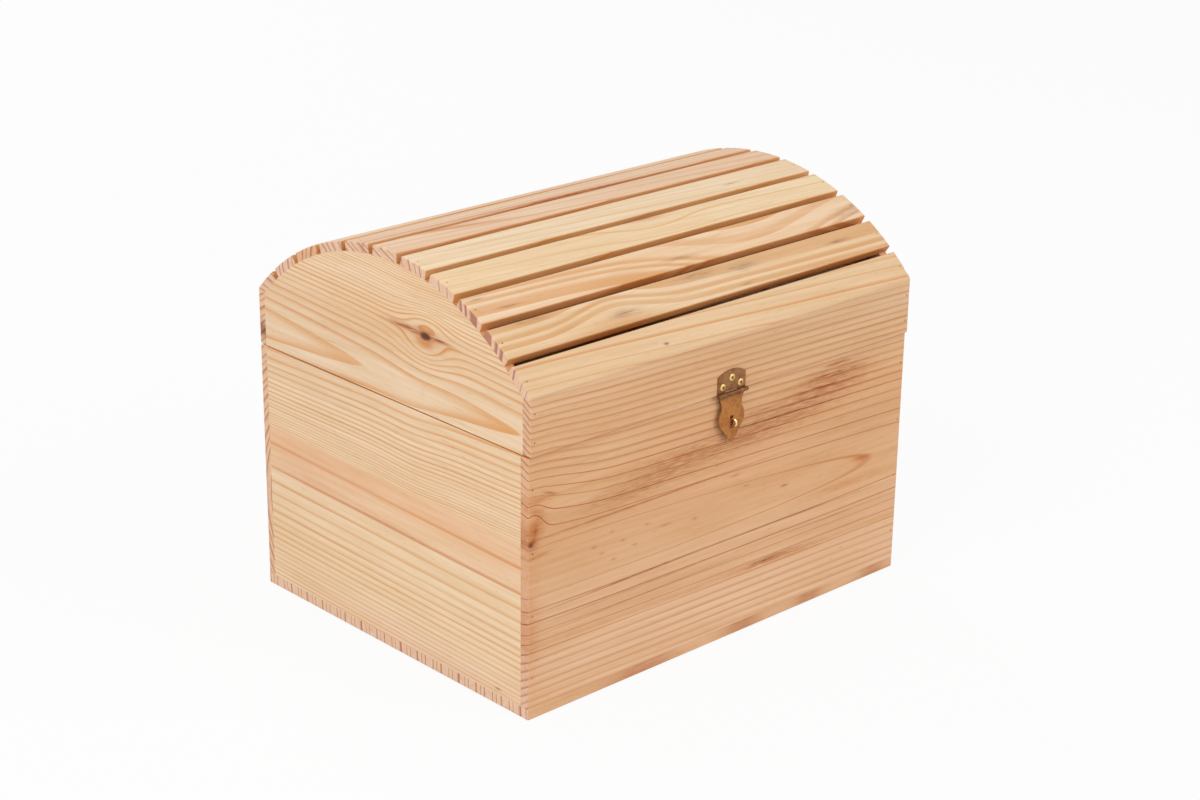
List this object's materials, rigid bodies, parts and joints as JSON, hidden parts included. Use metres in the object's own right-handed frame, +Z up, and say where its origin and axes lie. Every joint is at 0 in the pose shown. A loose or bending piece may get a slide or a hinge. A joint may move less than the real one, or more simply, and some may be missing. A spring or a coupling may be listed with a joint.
{
  "type": "wooden storage box",
  "caption": "Pine storage chest with plain board walls, a hinged domed lid of spaced slats over arched ends, and a small brass hasp at the front.",
  "frame": {"origin": "middle of the box's underside, on the surface that it stands on", "axes": "+X to the right along the front, +Y to the back, +Z up"},
  "size_m": [0.4, 0.3276, 0.3189],
  "materials": {
    "pine_box": "satin",
    "pine_lid": "satin",
    "pine_slat": "satin",
    "antique_brass": "aged, semi-matte",
    "bright_brass": "polished",
    "hinge_brass": "plated, satin",
    "brad_steel": "bright"
  },
  "bodies": {
    "box": {"box_bottom": "pine_box", "box_front_panel": "pine_box", "box_back_panel": "pine_box", "box_left_end_lower": "pine_box", "box_left_end_upper": "pine_box", "box_right_end_lower": "pine_box", "box_right_end_upper": "pine_box", "box_corner_brads": "brad_steel", "box_bottom_brads": "brad_steel", "hinge_left_box_leaf": "hinge_brass", "hinge_right_box_leaf": "hinge_brass", "hinge_left_pin": "hinge_brass", "hinge_right_pin": "hinge_brass", "hinge_box_screws": "bright_brass", "hasp_staple": "bright_brass"},
    "lid": {"lid_front_rail": "pine_lid", "lid_back_rail": "pine_lid", "lid_left_end": "pine_lid", "lid_right_end": "pine_lid", "lid_slat_01": "pine_slat", "lid_slat_02": "pine_slat", "lid_slat_03": "pine_slat", "lid_slat_04": "pine_slat", "lid_slat_05": "pine_slat", "lid_slat_06": "pine_slat", "lid_slat_07": "pine_slat", "lid_slat_08": "pine_slat", "lid_slat_09": "pine_slat", "lid_slat_10": "pine_slat", "lid_slat_11": "pine_slat", "lid_corner_brads": "brad_steel", "lid_slat_brads": "brad_steel", "hinge_left_lid_leaf": "hinge_brass", "hinge_right_lid_leaf": "hinge_brass", "hinge_lid_screws": "bright_brass", "hasp_plate": "antique_brass", "hasp_pin": "antique_brass", "hasp_screws": "bright_brass"},
    "strap": {"hasp_strap": "antique_brass"}
  },
  "joints": [
    {"name": "lid_hinge", "type": "hinge", "parent": "box", "child": "lid", "pos_m": [0, 0.1592, 0.2044], "axis": [-1, 0, 0], "range_deg": [0, 180]},
    {"name": "hasp_swing", "type": "hinge", "parent": "lid", "child": "strap", "pos_m": [-0.0016, -0.161, 0.2044], "axis": [-1, 0, 0], "range_deg": [-4.5, 176]}
  ]
}
